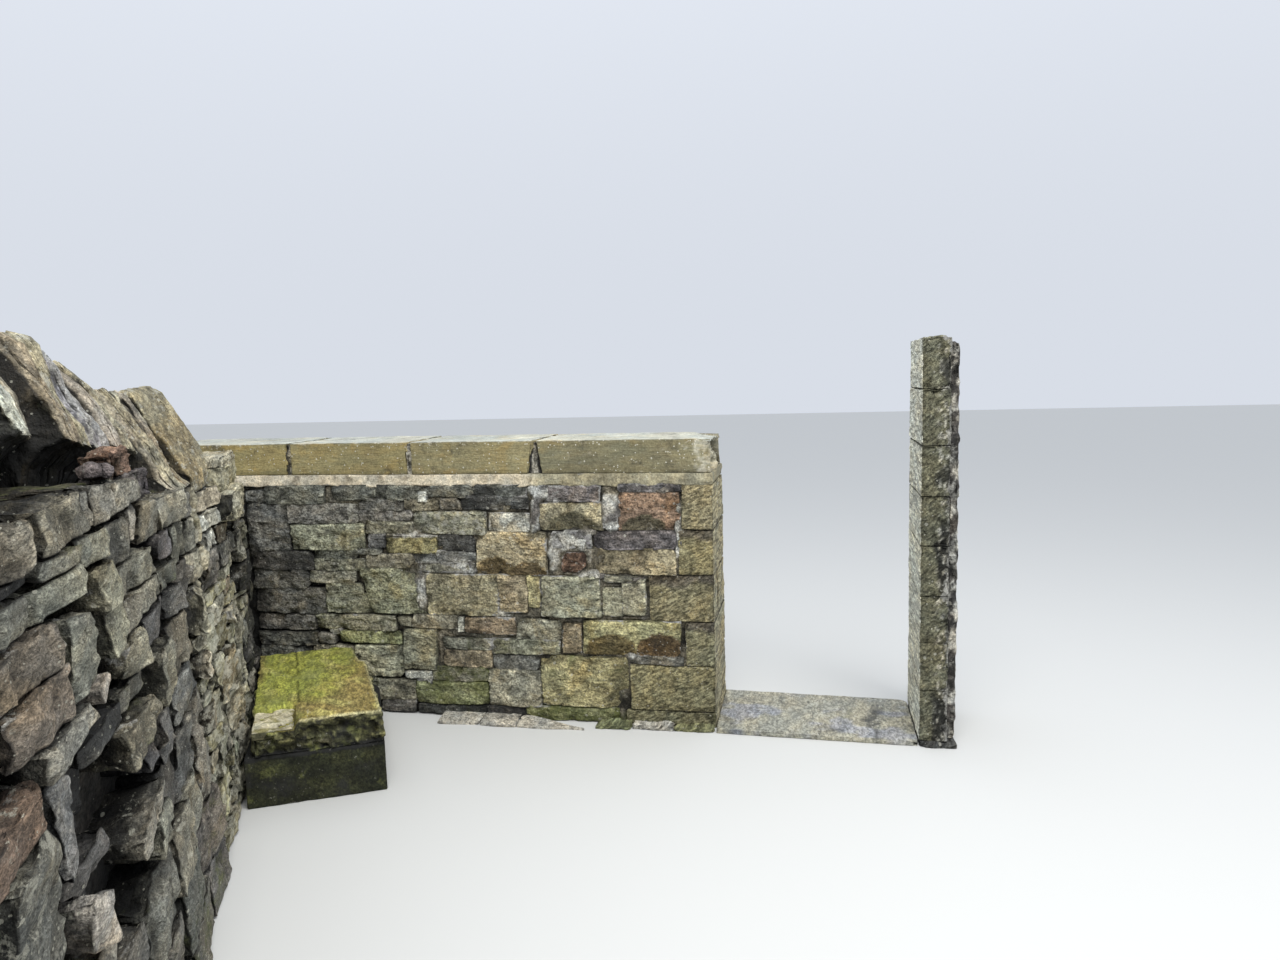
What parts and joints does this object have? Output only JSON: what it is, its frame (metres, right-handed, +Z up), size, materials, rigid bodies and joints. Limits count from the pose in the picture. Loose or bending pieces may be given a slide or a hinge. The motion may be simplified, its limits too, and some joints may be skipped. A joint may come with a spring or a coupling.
{
  "type": "stone yard wall with walk-through stile",
  "caption": "Corner of a stone yard wall with a narrow walk-through gap, threshold slab and slim pier, a stone step in the corner and a dry-stone return wall.",
  "frame": {"origin": "centre of the walk-through gap at ground level, on the underside of the threshold slab", "axes": "+X along the front wall towards the pier, -Y into the yard, +Z up"},
  "size_m": [3.8409, 3.7305, 1.777],
  "materials": {
    "rubble_stone": "rough coursed gritstone rubble with soot, lichen and pale mortar",
    "coping_stone": "sawn gritstone coping, ochre face and wet pale top",
    "lime_mortar": "pale weathered mortar and cement",
    "quoin_stone": "pick-dressed gritstone, olive buff",
    "threshold_stone": "worn grey stone, damp",
    "pier_stone": "pick-dressed gritstone blocks, dark front and pale lichened side",
    "step_stone": "mossy stone slab, green and ochre top, dark green face",
    "dry_stone": "rough dry-stone walling, grey brown with deep dark joints",
    "cope_stone": "weathered split stone set on edge"
  },
  "bodies": {
    "root": {"front_wall": "rubble_stone", "coping_stone_1": "coping_stone", "coping_stone_2": "coping_stone", "coping_stone_3": "coping_stone", "coping_stone_4": "coping_stone", "coping_bed": "lime_mortar", "coping_pointing": "lime_mortar", "base_haunching": "lime_mortar", "pier_mortar": "lime_mortar", "step_patch": "lime_mortar", "quoin_1": "quoin_stone", "quoin_2": "quoin_stone", "quoin_3": "quoin_stone", "quoin_4": "quoin_stone", "quoin_5": "quoin_stone", "quoin_6": "quoin_stone", "footing_stones": "quoin_stone", "threshold_slab": "threshold_stone", "pier_foot": "pier_stone", "pier_block_1": "pier_stone", "pier_block_2": "pier_stone", "pier_block_3": "pier_stone", "pier_block_4": "pier_stone", "pier_block_5": "pier_stone", "pier_block_6": "pier_stone", "pier_block_7": "pier_stone", "pier_block_8": "pier_stone", "step_slab_lower": "step_stone", "step_slab_upper": "step_stone", "return_wall": "dry_stone", "corner_block": "dry_stone", "corner_top_stone": "dry_stone", "packing_stones": "dry_stone", "cope_stone_1": "cope_stone", "cope_stone_2": "cope_stone", "cope_stone_3": "cope_stone", "cope_stone_4": "cope_stone", "cope_stone_5": "cope_stone", "cope_stone_6": "cope_stone", "cope_stone_7": "cope_stone", "cope_stone_8": "cope_stone"}
  },
  "joints": []
}
